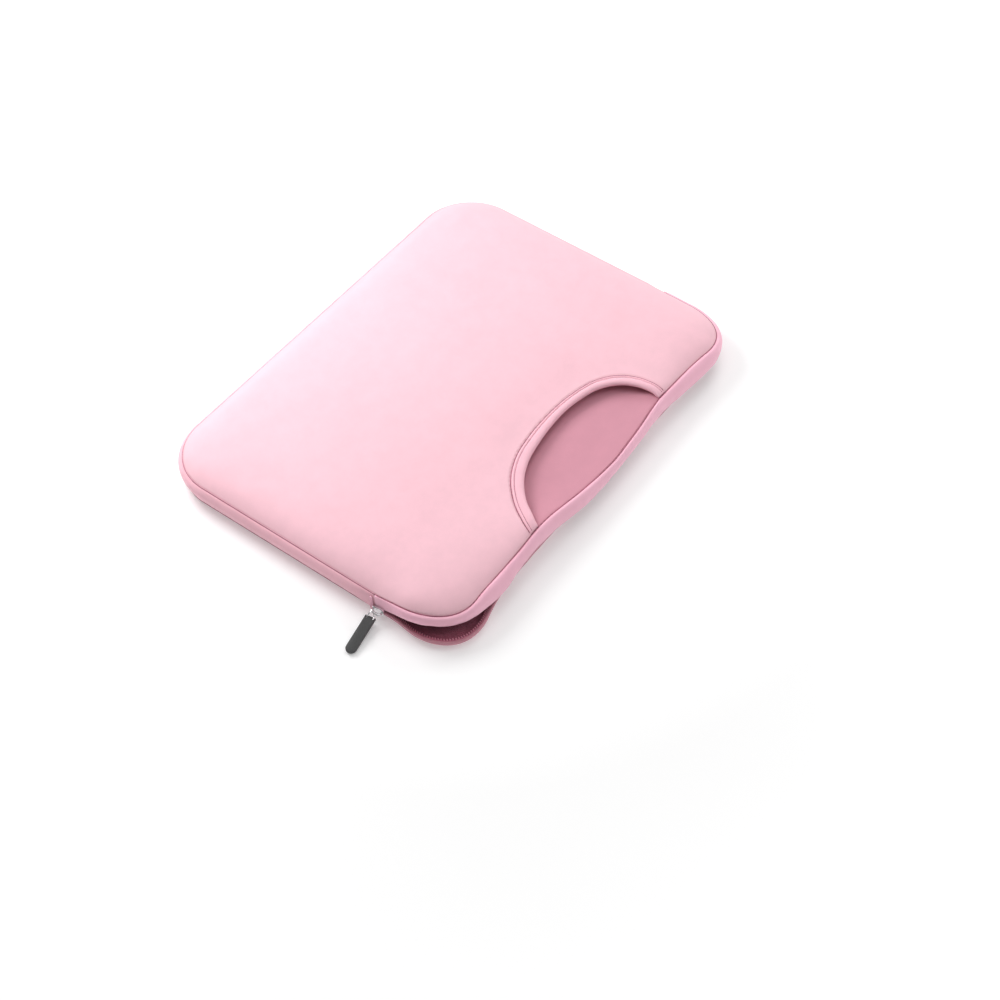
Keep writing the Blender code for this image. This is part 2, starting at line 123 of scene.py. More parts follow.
def mouth_frame(x, y):
    """For plan points: distance along the zip, distance in from the seam, and the outward normal."""
    x, y = np.asarray(x, float), np.asarray(y, float)
    left, right, front = x + HALF_X, HALF_X - x, y + HALF_Y
    s = np.where(left < right, ZIP_START_Y - y, S_END - (ZIP_START_Y - y))
    d = np.minimum(left, right)
    n = np.stack([np.where(left < right, -1.0, 1.0), np.zeros_like(x)], axis=1)
    on_front = (front < d)
    s = np.where(on_front, S_FRONT + np.clip(x, -CORNER_X, CORNER_X) + CORNER_X, s)
    d = np.where(on_front, front, d)
    n[on_front] = (0, -1)
    corner = (np.abs(x) > CORNER_X) & (y < CORNER_Y)
    cx, cy = np.abs(x) - CORNER_X, y - CORNER_Y
    r = np.hypot(cx, cy)
    ang = np.arctan2(-cy, cx)
    s_left = S_CORNER + R_MOUTH * ang
    s = np.where(corner, np.where(x < 0, s_left, S_END - s_left), s)
    d = np.where(corner, R_MOUTH - r, d)
    rr = np.maximum(r, 1e-6)
    n = np.where(corner[:, None], np.stack([np.sign(x) * cx / rr, cy / rr], axis=1), n)
    return s, d, n


def settle_front(p, reach=17.0):
    """Pushes and lifts the front skins near the mouth as the tables say, then bends them."""
    p = np.array(p, float)
    s, d, n = mouth_frame(p[:, 0], p[:, 1])
    fade = np.exp(-(np.maximum(d, 0) / reach) ** 2) * (p[:, 1] < -60)
    p[:, 0] += n[:, 0] * BOW(s) * fade
    p[:, 1] += n[:, 1] * BOW(s) * fade
    p[:, 2] += LIFT(s) * fade
    return bend(p)


def settle_rear(p, reach=20.0):
    p = np.array(p, float)
    s, d, n = mouth_frame(p[:, 0], p[:, 1])
    fade = np.exp(-(np.maximum(d, 0) / reach) ** 2) * (p[:, 1] < -60)
    p[:, 0] += n[:, 0] * LIP(s) * fade
    p[:, 1] += n[:, 1] * LIP(s) * fade
    return p


# ---- mesh builders -------------------------------------------------------------------------
def make(name, verts, faces, mat, sharp=None):
    mesh = bpy.data.meshes.new(name)
    mesh.from_pydata((np.asarray(verts, float) * MM).tolist(), [], [list(map(int, f)) for f in faces])
    mesh.validate()
    bm = bmesh.new()
    bm.from_mesh(mesh)
    bmesh.ops.recalc_face_normals(bm, faces=bm.faces)
    bm.to_mesh(mesh)
    bm.free()
    mesh.shade_smooth()
    if sharp:
        mesh.set_sharp_from_angle(angle=math.radians(sharp))
    mesh.materials.append(mat)
    obj = bpy.data.objects.new(name, mesh)
    bpy.context.scene.collection.objects.link(obj)
    return obj


def run_side(x0, y0, x1, y1, n, step):
    k = max(int(round(math.hypot(x1 - x0, y1 - y0) / step)), 1)
    t = np.arange(k) / k
    return np.stack([x0 + (x1 - x0) * t, y0 + (y1 - y0) * t], axis=1), np.repeat([n], k, axis=0)


def run_corner(cx, cy, r, a0, a1, step):
    k = max(int(round(abs(math.radians(a1 - a0)) * r / step)), 4)
    a = np.radians(a0 + (a1 - a0) * np.arange(k) / k)
    n = np.stack([np.cos(a), np.sin(a)], axis=1)
    return np.array([cx, cy]) + r * n, n


def join_runs(runs, end):
    p = np.concatenate([r[0] for r in runs] + [[end[0]]])
    n = np.concatenate([r[1] for r in runs] + [[end[1]]])
    s = np.concatenate([[0], np.cumsum(np.hypot(*np.diff(p, axis=0).T))])
    return p, n, s


def mouth_path(step=2.0, start=ZIP_START_Y, end=None):
    end = start if end is None else end
    return join_runs([
        run_side(-HALF_X, start, -HALF_X, CORNER_Y, (-1, 0), step),
        run_corner(-CORNER_X, CORNER_Y, R_MOUTH, 180, 270, step),
        run_side(-CORNER_X, -HALF_Y, CORNER_X, -HALF_Y, (0, -1), step),
        run_corner(CORNER_X, CORNER_Y, R_MOUTH, 270, 360, step),
        run_side(HALF_X, CORNER_Y, HALF_X, end, (1, 0), step)], ((HALF_X, end), (1, 0)))


def closed_path(step=2.0, start=ZIP_START_Y):
    cx, cy = HALF_X - R_CLOSED, HALF_Y - R_CLOSED
    return join_runs([
        run_side(-HALF_X, start, -HALF_X, cy, (-1, 0), step),
        run_corner(-cx, cy, R_CLOSED, 180, 90, step),
        run_side(-cx, HALF_Y, cx, HALF_Y, (0, 1), step),
        run_corner(cx, cy, R_CLOSED, 90, 0, step),
        run_side(HALF_X, cy, HALF_X, start, (1, 0), step)], ((HALF_X, start), (1, 0)))


def strip(rings, closed=False):
    """Vertices and faces of a tube through equal rings (count, points, 3), with capped ends."""
    k, m = rings.shape[:2]
    faces = []
    for a in range(k if closed else k - 1):
        b = (a + 1) % k
        faces += [(a * m + j, a * m + (j + 1) % m, b * m + (j + 1) % m, b * m + j) for j in range(m)]
    if not closed:
        faces.append(tuple(range(m))[::-1])
        faces.append(tuple((k - 1) * m + j for j in range(m)))
    return rings.reshape(-1, 3), faces


def rounded(points, per=4):
    """Closed smooth section through the points."""
    p = np.array(points, float)
    out = []
    n = len(p)
    for k in range(n):
        p0, p1, p2, p3 = p[k - 1], p[k], p[(k + 1) % n], p[(k + 2) % n]
        for j in range(per):
            t = j / per
            out.append(0.5 * ((2 * p1) + (p2 - p0) * t + (2 * p0 - 5 * p1 + 4 * p2 - p3) * t * t + (3 * p1 - p0 - 3 * p2 + p3) * t ** 3))
    return np.array(out)


def ripple(s, z, seed, waves, amp):
    """Small soft creases that run slightly aslant along a band."""
    rng = np.random.default_rng(seed)
    total = 0
    for w in waves:
        ph, slant = rng.uniform(0, 6.28), rng.uniform(-0.9, 0.9)
        total = total + np.sin(2 * math.pi * (s + slant * z) / w + ph) * rng.uniform(.6, 1.0)
    mask = 0.55 + 0.45 * np.sin(2 * math.pi * s / 83.0 + seed)
    return amp * total * mask / len(waves) ** 0.5


def front_rings(path, section, wrinkle=0.0, seed=1, full=None):
    """Section points (outwards, z) carried along the mouth, leaned about the panel seam and settled."""
    p, n, s = path
    o = np.repeat(section[None, :, 0], len(s), axis=0)
    z = np.repeat(section[None, :, 1], len(s), axis=0)
    ss = s[:, None]
    if full is not None:
        o = np.repeat(full[None, :], len(s), axis=0) * FULL(ss) + o * (1 - FULL(ss))
    if wrinkle:
        depth = np.clip((SEAM_Z - z) / 9.0, 0, 1) * (o > 0.3)
        o = o + ripple(ss, z, seed, (9.0, 13.7, 23.0), wrinkle) * depth
    a = np.radians(LEAN(s))[:, None]
    h = (SEAM_Z - z) * np.where(z < SEAM_Z, WIDE(s)[:, None] / BAND_H, 1.0)
    o2 = o * np.cos(a) + h * np.sin(a) + BOW(s)[:, None]
    z2 = SEAM_Z - h * np.cos(a) + o * np.sin(a) + LIFT(s)[:, None]
    pts = np.stack([p[:, None, 0] + n[:, None, 0] * o2, p[:, None, 1] + n[:, None, 1] * o2, z2], axis=2)
    return bend(pts.reshape(-1, 3)).reshape(pts.shape)


def rear_rings(path, section, wrinkle=0.0, seed=2, lip=True, full=None):
    p, n, s = path
    o = np.repeat(section[None, :, 0], len(s), axis=0)
    z = np.repeat(section[None, :, 1], len(s), axis=0)
    if full is not None:
        away = smooth01((np.minimum(s, s[-1] - s) - 7.0) / 12.0)[:, None]
        o = np.repeat(full[None, :], len(s), axis=0) * away + o * (1 - away)
    if wrinkle:
        o = o + ripple(s[:, None], z, seed, (11.0, 17.0, 29.0), wrinkle) * (o > 0.3)
    if lip:
        o = o + LIP(s)[:, None]
    return np.stack([p[:, None, 0] + n[:, None, 0] * o, p[:, None, 1] + n[:, None, 1] * o, z], axis=2)


def outline(inset, step=3.0):
    hx, hy = HALF_X - inset, HALF_Y - inset
    rm, rc = max(R_MOUTH - inset, 2.0), max(R_CLOSED - inset, 2.0)
    return np.concatenate([
        run_corner(-hx + rm, -hy + rm, rm, 180, 270, step)[0],
        run_side(-hx + rm, -hy, hx - rm, -hy, (0, -1), step)[0],
        run_corner(hx - rm, -hy + rm, rm, 270, 360, step)[0],
        run_side(hx, -hy + rm, hx, hy - rc, (1, 0), step)[0],
        run_corner(hx - rc, hy - rc, rc, 0, 90, step)[0],
        run_side(hx - rc, hy, -hx + rc, hy, (0, 1), step)[0],
        run_corner(-hx + rc, hy - rc, rc, 90, 180, step)[0],
        run_side(-hx, hy - rc, -hx, -hy + rm, (-1, 0), step)[0]])


def inset_of(x, y):
    """Distance in from the seam rectangle."""
    r = np.where(y < 0, R_MOUTH, R_CLOSED)
    qx, qy = np.abs(x) - (HALF_X - r), np.abs(y) - (HALF_Y - r)
    return r - np.hypot(np.maximum(qx, 0), np.maximum(qy, 0)) - np.minimum(np.maximum(qx, qy), 0)


def in_polygon(pts, poly):
    x, y = pts[:, 0], pts[:, 1]
    inside = np.zeros(len(pts), bool)
    for (x0, y0), (x1, y1) in zip(poly, np.roll(poly, -1, axis=0)):
        hit = ((y0 > y) != (y1 > y)) & (x < (x1 - x0) * (y - y0) / (y1 - y0 + 1e-12) + x0)
        inside ^= hit
    return inside


def near_line(pts, line, within):
    d = np.full(len(pts), 1e9)
    for a, b in zip(line[:-1], line[1:]):
        ab = b - a
        t = np.clip(((pts - a) @ ab) / (ab @ ab), 0, 1)
        d = np.minimum(d, np.hypot(*(pts - a - t[:, None] * ab).T))
    return d < within


def catmull(points, per):
    p = [np.array(q, float) for q in points]
    p = [2 * p[0] - p[1]] + p + [2 * p[-1] - p[-2]]
    out = []
    for k in range(1, len(p) - 2):
        p0, p1, p2, p3 = p[k - 1:k + 3]
        for j in range(per):
            t = j / per
            out.append(0.5 * ((2 * p1) + (p2 - p0) * t + (2 * p0 - 5 * p1 + 4 * p2 - p3) * t * t + (3 * p1 - p0 - 3 * p2 + p3) * t ** 3))
    out.append(p[-2])
    return np.array(out)


def plan_mesh(insets, grid, hole=None, step=3.0):
    """Triangles that cover the seam rectangle from the first inset inwards, less a hole cut by an open line."""
    rings = [outline(i, step) for i in insets]
    gx = np.arange(-HALF_X, HALF_X, grid) + grid / 2
    gy = np.arange(-HALF_Y, HALF_Y, grid) + grid / 2
    g = np.stack(np.meshgrid(gx, gy), axis=2).reshape(-1, 2)
    g[:, 0] += (np.round(g[:, 1] / grid) % 2) * grid * 0.25
    g = g[inset_of(g[:, 0], g[:, 1]) > insets[-1] + grid * 0.6]
    pts = np.concatenate(rings + [g])
    edges = [(k, (k + 1) % len(rings[0])) for k in range(len(rings[0]))]
    if hole is not None:
        extra = []
        for off in (1.2, 3.0, 5.5):
            t = np.gradient(hole, axis=0)
            nn = np.stack([-t[:, 1], t[:, 0]], axis=1)
            nn /= np.linalg.norm(nn, axis=1)[:, None]
            extra.append((hole + nn * off)[::2])
        extra = np.concatenate(extra)
        extra = extra[inset_of(extra[:, 0], extra[:, 1]) > insets[0] + 1.0]
        poly = np.concatenate([hole, [(hole[-1][0], -150), (hole[0][0], -150)]])
        keep = np.ones(len(pts), bool)
        first = len(rings[0])
        keep[first:] = ~(in_polygon(pts[first:], poly) | near_line(pts[first:], hole, 6.4))
        extra = extra[~in_polygon(extra, poly)]
        ring_pts = pts[first:][~keep[first:]]
        rim = np.concatenate(rings[1:])
        rim = rim[~in_polygon(rim, poly) & near_line(rim, hole, 6.4) & ~near_line(rim, hole, 0.9)]
        rim = rim[inset_of(rim[:, 0], rim[:, 1]) < 9]
        pts = np.concatenate([pts[keep], extra, rim])
        base = len(pts)
        pts = np.concatenate([pts, hole])
        edges += [(base + k, base + k + 1) for k in range(len(hole) - 1)]
    out = delaunay_2d_cdt([Vector(p) for p in pts.tolist()], edges, [], 0, 1e-4)
    v = np.array([tuple(p) for p in out[0]])
    f = np.array([tuple(t) for t in out[2]])
    c = v[f].mean(axis=1)
    ok = inset_of(c[:, 0], c[:, 1]) > insets[0] - 0.05
    if hole is not None:
        ok &= ~in_polygon(c, poly)
    f = f[ok]
    used = np.unique(f)
    index = np.full(len(v), -1)
    index[used] = np.arange(len(used))
    return v[used], index[f]


def slab(plan, tris, top, under):
    """Closed skin: the plan drawn at two heights with a rim between."""
    n = len(plan)
    e = np.concatenate([tris[:, [0, 1]], tris[:, [1, 2]], tris[:, [2, 0]]])
    key = {(a, b) for a, b in e.tolist()}
    rim = [(a, b) for a, b in e.tolist() if (b, a) not in key]
    verts = np.concatenate([np.column_stack([plan, top]), np.column_stack([plan, under])])
    faces = tris.tolist() + (tris[:, ::-1] + n).tolist() + [(b, a, a + n, b + n) for a, b in rim]
    return verts, faces, sorted({a for r in rim for a in r})


def tube_rings(points, radius, sides=12, closed=False):
    p = np.asarray(points, float)
    n = len(p)
    t = (np.roll(p, -1, axis=0) - np.roll(p, 1, axis=0)) if closed else np.gradient(p, axis=0)
    t /= np.linalg.norm(t, axis=1)[:, None]
    up = np.cross(t[0], (0.3, 0.5, 0.81))
    up /= np.linalg.norm(up)
    ups = []
    for k in range(n):
        up = up - t[k] * (up @ t[k])
        up /= np.linalg.norm(up)
        ups.append(up)
    ups = np.array(ups)
    if closed:
        last = ups[-1] - t[0] * (ups[-1] @ t[0])
        last /= np.linalg.norm(last)
        twist = math.atan2(np.cross(ups[0], last) @ t[0], ups[0] @ last)
    else:
        twist = 0.0
    side = np.cross(t, ups)
    a = 2 * math.pi * np.arange(sides) / sides
    a = a[None, :] - twist * np.arange(n)[:, None] / n
    r = np.broadcast_to(np.asarray(radius, float), (n,))[:, None, None]
    return p[:, None, :] + r * (np.cos(a)[..., None] * ups[:, None, :] + np.sin(a)[..., None] * side[:, None, :])


# ---- materials -----------------------------------------------------------------------------
def srgb(r, g, b):
    return tuple(((c / 255) / 12.92 if c <= 10.3 else ((c / 255 + 0.055) / 1.055) ** 2.4) for c in (r, g, b)) + (1.0,)


class Nodes:
    def __init__(self, name):
        self.m = bpy.data.materials.new(name)
        self.m.use_nodes = True
        self.t = self.m.node_tree
        self.bsdf = self.t.nodes["Principled BSDF"]
        self.at = self.t.nodes.new("ShaderNodeTexCoord").outputs["Object"]

    def node(self, kind, inputs=None, **props):
        n = self.t.nodes.new(kind)
        for k, v in props.items():
            setattr(n, k, v)
        for k, v in (inputs or {}).items():
            if hasattr(v, "is_output"):
                self.t.links.new(v, n.inputs[k])
            else:
                n.inputs[k].default_value = v
        return n

    def noise(self, scale, detail=3.0, rough=0.5, at=None, distortion=0.0):
        return self.node("ShaderNodeTexNoise", {"Vector": at or self.at, "Scale": scale, "Detail": detail, "Roughness": rough, "Distortion": distortion}).outputs["Fac"]

    def voronoi(self, scale, feature="F1"):
        return self.node("ShaderNodeTexVoronoi", {"Vector": self.at, "Scale": scale}, feature=feature).outputs["Distance"]

    def wave(self, scale, axis, distortion=0.4, phase=0.0):
        return self.node("ShaderNodeTexWave", {"Vector": self.at, "Scale": scale, "Distortion": distortion, "Detail": 1.0, "Detail Scale": 2.0, "Phase Offset": phase},
                         bands_direction=axis).outputs["Fac"]

    def maths(self, op, a, b=0.0, clamp=False):
        return self.node("ShaderNodeMath", {0: a, 1: b}, operation=op, use_clamp=clamp).outputs[0]

    def ramp(self, fac, stops):
        r = self.node("ShaderNodeValToRGB", {"Fac": fac})
        e = r.color_ramp.elements
        e[0].position, e[0].color = stops[0]
        e[1].position, e[1].color = stops[-1]
        for pos, col in stops[1:-1]:
            k = e.new(pos)
            k.color = col
        return r.outputs["Color"]

    def mix(self, fac, a, b, kind="MIX"):
        n = self.node("ShaderNodeMix", None, data_type="RGBA", blend_type=kind)
        for i, v in ((0, fac), (6, a), (7, b)):
            if hasattr(v, "is_output"):
                self.t.links.new(v, n.inputs[i])
            else:
                n.inputs[i].default_value = v
        return n.outputs[2]

    def remap(self, fac, lo, hi):
        return self.node("ShaderNodeMapRange", {"Value": fac, "To Min": lo, "To Max": hi}).outputs["Result"]

    def bump(self, heights, strength, distance=0.0006):
        """Several (height, weight) layers summed into one bump."""
        total = None
        for h, w in heights:
            part = self.maths("MULTIPLY", h, w)
            total = part if total is None else self.maths("ADD", total, part)
        b = self.node("ShaderNodeBump", {"Height": total, "Strength": strength, "Distance": distance})
        self.link(b.outputs["Normal"], "Normal")

    def link(self, out, socket):
        self.t.links.new(out, self.bsdf.inputs[socket])

    def set(self, **values):
        for k, v in values.items():
            self.bsdf.inputs[k.replace("_", " ")].default_value = v


def scaled(c, k):
    return tuple(min(x * k, 1.0) for x in c[:3]) + (1.0,)


def fabric(name, colour, variation=0.05, knit=0.5, grain=0.35, knit_mm=0.62, sheen=0.25, rough=0.78, strength=0.35, tint=None, ridge_highlight=0.0):
    """Fine jersey face: crossed ribs, a softer pebble over them, slow changes of tone, and a painted highlight that
    lightens convex ridges when asked.
    """
    n = Nodes(name)
    slow = n.noise(16.0, 2.0, 0.55)
    mid = n.noise(95.0, 4.0, 0.6)
    fine = n.noise(900.0, 3.0, 0.65)
    base = n.ramp(slow, [(0.3, scaled(colour, 1 - variation)), (0.7, scaled(colour, 1 + variation))])
    speck = n.ramp(mid, [(0.32, scaled(tint or colour, 0.94)), (0.68, scaled(colour, 1.04))])
    base = n.mix(0.45, base, speck)
    ribs_a = n.wave(1000 / (knit_mm * 6.28) * 1.0, "DIAGONAL", 0.6)
    ribs_b = n.wave(1000 / (knit_mm * 6.28) * 1.1, "Y", 0.8, 1.3)
    thread = n.maths("MULTIPLY", ribs_a, ribs_b)
    base = n.mix(n.remap(fine, 0.0, 0.22), base, scaled(colour, 0.82))
    # Painted highlight: convex ridges are lightened in the colour, as where they catch the light.
    if ridge_highlight:
        edge = n.node("ShaderNodeNewGeometry").outputs["Pointiness"]
        edge = n.node("ShaderNodeMapRange", {"Value": edge, "From Min": 0.50, "From Max": 0.56, "To Min": 0.0, "To Max": ridge_highlight}).outputs["Result"]
        base = n.mix(edge, base, scaled(colour, 1.18))
    n.link(base, "Base Color")
    n.link(n.remap(mid, rough - 0.07, rough + 0.07), "Roughness")
    n.bump([(thread, 0.10 * knit), (fine, 0.22 * grain), (mid, 0.55 * grain)], strength)
    n.set(Sheen_Weight=sheen, Sheen_Roughness=0.45, Specular_IOR_Level=0.3)
    n.bsdf.inputs["Sheen Tint"].default_value = (1.0, 0.93, 0.93, 1.0)
    return n.m


def plush(name, colour):
    n = Nodes(name)
    tuft = n.voronoi(1400.0)
    clump = n.noise(260.0, 4.0, 0.7, distortion=0.6)
    slow = n.noise(26.0, 2.0)
    base = n.ramp(clump, [(0.25, scaled(colour, 0.72)), (0.55, colour), (0.8, scaled(colour, 1.22))])
    base = n.mix(n.remap(slow, 0.0, 0.35), base, scaled(colour, 0.85))
    n.link(base, "Base Color")
    n.link(n.remap(clump, 0.88, 1.0), "Roughness")
    n.bump([(tuft, 0.5), (clump, 0.9)], 0.8, 0.0012)
    n.set(Sheen_Weight=0.6, Sheen_Roughness=0.35, Specular_IOR_Level=0.15)
    n.bsdf.inputs["Sheen Tint"].default_value = (1.0, 0.85, 0.90, 1.0)
    return n.m


def woven(name, colour, pitch=0.55):
    n = Nodes(name)
    a = n.wave(1000 / (pitch * 6.28), "Z", 0.2)
    b = n.wave(1000 / (pitch * 6.28), "DIAGONAL", 0.2)
    weave = n.maths("MAXIMUM", a, b)
    dirt = n.noise(180.0, 3.0)
    base = n.ramp(weave, [(0.2, scaled(colour, 0.68)), (0.75, scaled(colour, 1.08))])
    base = n.mix(n.remap(dirt, 0.0, 0.3), base, scaled(colour, 0.85))
    n.link(base, "Base Color")
    n.link(n.remap(dirt, 0.66, 0.84), "Roughness")
    n.bump([(weave, 0.5), (dirt, 0.3)], 0.5, 0.0004)
    n.set(Sheen_Weight=0.2, Specular_IOR_Level=0.3)
    return n.m


def nylon(name, colour):
    n = Nodes(name)
    f = n.noise(700.0, 3.0)
    n.link(n.ramp(f, [(0.3, scaled(colour, 0.85)), (0.7, scaled(colour, 1.1))]), "Base Color")
    n.link(n.remap(f, 0.32, 0.5), "Roughness")
    n.bump([(f, 0.3)], 0.2, 0.0002)
    return n.m


def chrome(name):
    n = Nodes(name)
    f = n.noise(420.0, 4.0, 0.6)
    scratch = n.noise(90.0, 6.0, 0.75, distortion=1.5)
    n.link(n.ramp(scratch, [(0.3, (0.80, 0.80, 0.81, 1)), (0.6, (0.90, 0.90, 0.91, 1))]), "Base Color")
    n.link(n.remap(f, 0.07, 0.17), "Roughness")
    n.bump([(scratch, 0.25), (f, 0.15)], 0.08, 0.0002)
    n.set(Metallic=1.0)
    return n.m


def rubber(name):
    n = Nodes(name)
    f = n.noise(1300.0, 3.0, 0.7)
    slow = n.noise(70.0, 3.0)
    base = n.ramp(f, [(0.3, srgb(58, 58, 59)), (0.7, srgb(72, 72, 72))])
    base = n.mix(n.remap(slow, 0.0, 0.4), base, srgb(80, 80, 80))
    # Painted highlight: the tab's sharp convex edges are lightened towards a paler grey.
    edge = n.node("ShaderNodeNewGeometry").outputs["Pointiness"]
    edge = n.node("ShaderNodeMapRange", {"Value": edge, "From Min": 0.52, "From Max": 0.60, "To Min": 0.0, "To Max": 0.5}).outputs["Result"]
    n.link(n.mix(edge, base, srgb(100, 100, 100)), "Base Color")
    n.link(n.remap(slow, 0.56, 0.72), "Roughness")
    n.bump([(f, 0.6), (slow, 0.3)], 0.25, 0.0003)
    n.set(Specular_IOR_Level=0.4)
    return n.m


PINK = srgb(243, 194, 205)
M_PANEL = fabric("neoprene_front", PINK, 0.035, tint=scaled(PINK, 0.985), sheen=0.30)
M_REAR = fabric("neoprene_rear", scaled(PINK, 0.95), 0.05, sheen=0.25)
# The pocket wall's deeper pink is partly its own colour and partly painted shade of the recess under the binding.
M_WALL = fabric("neoprene_pocket", srgb(209, 146, 162), 0.05, sheen=0.15, strength=0.4)
M_GUSSET = fabric("gusset_fabric", srgb(244, 188, 201), 0.05, knit_mm=0.5, ridge_highlight=0.25, strength=0.45)
# The band's pink is its own colour raised with painted light, standing for light bounced up onto it from below.
M_BAND = fabric("band_fabric", srgb(254, 192, 211), 0.06, knit_mm=0.5, ridge_highlight=0.35, strength=0.5, grain=0.5)
M_BIND = fabric("binding_fabric", srgb(244, 190, 203), 0.05, knit_mm=0.5, ridge_highlight=0.25, strength=0.45)
M_LIP = fabric("rear_lip_fabric", srgb(205, 143, 157), 0.06, knit_mm=0.5, ridge_highlight=0.2, strength=0.5)
# Dark cord colour for the seams: partly the thread itself, partly painted shade of the grooves the cords lie in.
M_SEAM_AND_SHADE = woven("seam_thread_and_groove_shade", srgb(176, 104, 124), 0.9)
M_STITCH = woven("stitch_thread", srgb(236, 176, 192), 0.4)
# The plush lining's colour is its own pink darkened with painted shade of the sleeve's dim inside.
M_PLUSH = plush("plush_lining", srgb(162, 92, 110))
M_TAPE = woven("zip_tape_weave", srgb(200, 118, 140))
M_TEETH = nylon("zip_coil", srgb(214, 138, 158))
M_CHROME = chrome("bright_chrome")
M_RUBBER = rubber("grey_rubber")

# ---- front panel: one padded skin, swollen by a cloth simulation ----------------------------
ARC_OUTER = catmull([
    (-75.5, -126.5), (-73.8, -121.5), (-70.0, -113.6), (-60.0, -99.4), (-46.5, -86.6), (-33.0, -78.6),
    (-17.0, -73.3), (7.7, -70.4), (34.0, -70.9), (56.0, -75.0), (69.8, -81.0), (79.7, -90.8),
    (84.8, -102.3), (86.2, -114.0), (86.0, -121.5), (85.8, -126.5)], 8)
ARC_INNER = catmull([
    (-67.5, -126.5), (-65.6, -121.5), (-61.8, -115.6), (-53.0, -103.4), (-41.0, -92.8), (-28.8, -85.9),
    (-14.6, -81.6), (9.0, -79.0), (32.4, -79.3), (51.4, -82.8), (62.8, -87.9), (71.5, -96.2),
    (76.2, -106.0), (77.6, -115.0), (77.4, -121.5), (77.2, -126.5)], 8)


def arc_top(i):
    """Height of the panel's face where it meets the half-moon's binding."""
    t = np.clip(i / 14.0, 0, 1)
    return 18.6 + 4.4 * (1 - (1 - t) ** 2.6) ** (1 / 1.7)


def panel_top(i):
    """Height of the free face: a wide, soft roll from the seam up to the crown."""
    t = np.clip(i / 23.0, 0, 1)
    return 18.5 + 6.7 * (1 - (1 - t) ** 2.3) ** (1 / 1.35)


def panel_under(i):
    return np.interp(i, [0.3, 3.4, 5.5, 9.0, 14.0], [18.3, 18.4, 19.3, 19.8, 20.0])


RINGS = [0.3, 0.6, 1.0, 1.6, 2.4, 3.4, 4.6, 6.0, 7.8, 10.0, 12.6, 15.6, 19.0, 23.0, 27.0]


def swell(name, verts, faces, pinned, cap, pressure=4.0, only=None):
    """Cloth under pressure with no gravity; returns how far each point may rise, capped softly."""
    mesh = bpy.data.meshes.new(name)
    mesh.from_pydata((verts * MM).tolist(), [], [list(map(int, f)) for f in faces])
    obj = bpy.data.objects.new(name, mesh)
    bpy.context.scene.collection.objects.link(obj)
    group = obj.vertex_groups.new(name="hold")
    group.add([int(i) for i in pinned], 1.0, "REPLACE")
    cloth = obj.modifiers.new("Cloth", "CLOTH")
    cs = cloth.settings
    cs.quality = 5
    cs.mass = 0.3
    cs.tension_stiffness = cs.compression_stiffness = 30
    cs.shear_stiffness = 15
    cs.bending_stiffness = 2.0
    cs.use_pressure = True
    cs.uniform_pressure_force = pressure
    cs.vertex_group_mass = "hold"
    cs.effector_weights.gravity = 0.0
    cloth.point_cache.frame_start, cloth.point_cache.frame_end = 1, 20
    scene = bpy.context.scene
    scene.frame_start, scene.frame_end = 1, 20
    for f in range(1, 21):
        scene.frame_set(f)
    dg = bpy.context.evaluated_depsgraph_get()
    ev = obj.evaluated_get(dg).to_mesh()
    co = np.empty(len(verts) * 3)
    ev.vertices.foreach_get("co", co)
    obj.evaluated_get(dg).to_mesh_clear()
    scene.frame_set(1)
    moved = co.reshape(-1, 3) / MM - verts
    bpy.data.objects.remove(obj, do_unlink=True)
    size = np.linalg.norm(moved, axis=1)
    if not np.isfinite(size).all():
        return np.zeros_like(moved)
    scale = np.where(size > 1e-9, cap * np.tanh(size / cap) / np.maximum(size, 1e-9), 0)
    return moved * scale[:, None]


def relax(tris, values, rounds, frozen):
    """Averages values over neighbouring points."""
    n = len(values)
    e = np.concatenate([tris[:, [0, 1]], tris[:, [1, 2]], tris[:, [2, 0]]])
    e = np.concatenate([e, e[:, ::-1]])
    count = np.bincount(e[:, 0], minlength=n).astype(float)
    for _ in range(rounds):
        near = np.bincount(e[:, 0], weights=values[e[:, 1]], minlength=n) / np.maximum(count, 1)
        values = np.where(frozen, values, 0.5 * values + 0.5 * near)
    return values


plan, tris = plan_mesh(RINGS, 5.0, ARC_OUTER)
inset = inset_of(plan[:, 0], plan[:, 1])
top = panel_top(inset)
under = panel_under(inset)
edge_gap = np.full(len(plan), 900.0)
for a, b in zip(ARC_OUTER[:-1], ARC_OUTER[1:]):
    ab = b - a
    t = np.clip(((plan - a) @ ab) / (ab @ ab), 0, 1)
    edge_gap = np.minimum(edge_gap, np.hypot(*(plan - a - t[:, None] * ab).T))
top = arc_top(inset) + (top - arc_top(inset)) * (1 - np.exp(-((edge_gap / 24.0) ** 2)))
top = np.maximum(top - 0.75 * np.clip(1 - edge_gap / 1.2, 0, 1) ** 1.5 * np.clip(inset / 6, 0, 1), under + 0.25)
verts, faces, rim = slab(plan, tris, top, under)
count = len(plan)
held = set(rim) | {i + count for i in range(count)} | set(np.nonzero(inset < 1.2)[0].tolist())
moved = swell("front_panel_swell", verts, faces, sorted(held), 1.5)
rise = np.maximum(moved[:count, 2], 0)
rise = relax(tris, rise, 4, np.isin(np.arange(count), sorted(held)))
verts[:count, 2] += rise
RISE = (plan, rise)
panel = make("front_panel_skin", settle_front(verts), faces, M_PANEL)
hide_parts("front_panel_main", "front_panel_flap")
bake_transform(panel)


def blend(obj):
    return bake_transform(obj)


# ---- pocket wall and front lining ----------------------------------------------------------
def wall_top(i):
    return 14.9 + 3.0 * (1 - smooth01((i - 0.7) / 20.0))


